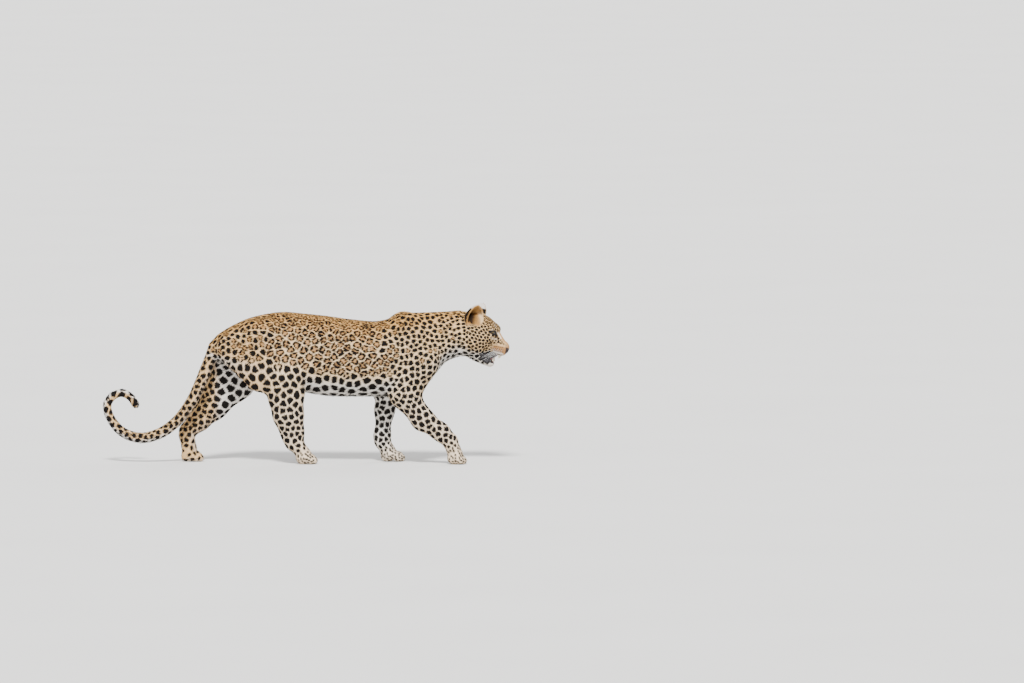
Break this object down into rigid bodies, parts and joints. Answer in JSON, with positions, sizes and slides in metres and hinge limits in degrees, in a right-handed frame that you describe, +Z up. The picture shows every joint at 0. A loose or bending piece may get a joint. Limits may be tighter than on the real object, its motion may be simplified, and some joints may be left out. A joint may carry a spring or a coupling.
{
  "type": "leopard",
  "caption": "Life-size model of a leopard walking in mid stride, with its head held level, its mouth half open and its tail curled up at the end.",
  "frame": {"origin": "on the ground, under the middle of the animal's outer box", "axes": "+X towards the nose, +Y to the animal's left, +Z up"},
  "size_m": [1.7305, 0.2905, 0.6748],
  "materials": {
    "coat": "short, dense, matt fur, tawny gold with black rosettes and spots",
    "pale_coat": "short, soft, off-white fur",
    "nose_leather": "dark, slightly moist, finely pebbled bare skin",
    "eye": "wet gloss",
    "tongue": "moist satin",
    "tooth": "smooth enamel"
  },
  "bodies": {
    "root": {"torso": "coat", "neck": "coat", "head": "coat", "jaw": "pale_coat", "ear_left": "coat", "ear_right": "coat", "eye_left": "eye", "eye_right": "eye", "nose": "nose_leather", "tongue": "tongue", "canine_upper_left": "tooth", "canine_upper_right": "tooth", "canine_lower_left": "tooth", "canine_lower_right": "tooth", "tail_1": "coat", "tail_2": "coat", "tail_3": "coat", "tail_4": "coat", "tail_5": "coat", "foreleg_left_upper": "coat", "foreleg_left_forearm": "coat", "foreleg_left_paw": "coat", "foreleg_right_upper": "coat", "foreleg_right_forearm": "coat", "foreleg_right_paw": "coat", "hindleg_left_thigh": "coat", "hindleg_left_shank": "coat", "hindleg_left_paw": "coat", "hindleg_right_thigh": "coat", "hindleg_right_shank": "coat", "hindleg_right_paw": "coat"}
  },
  "joints": []
}
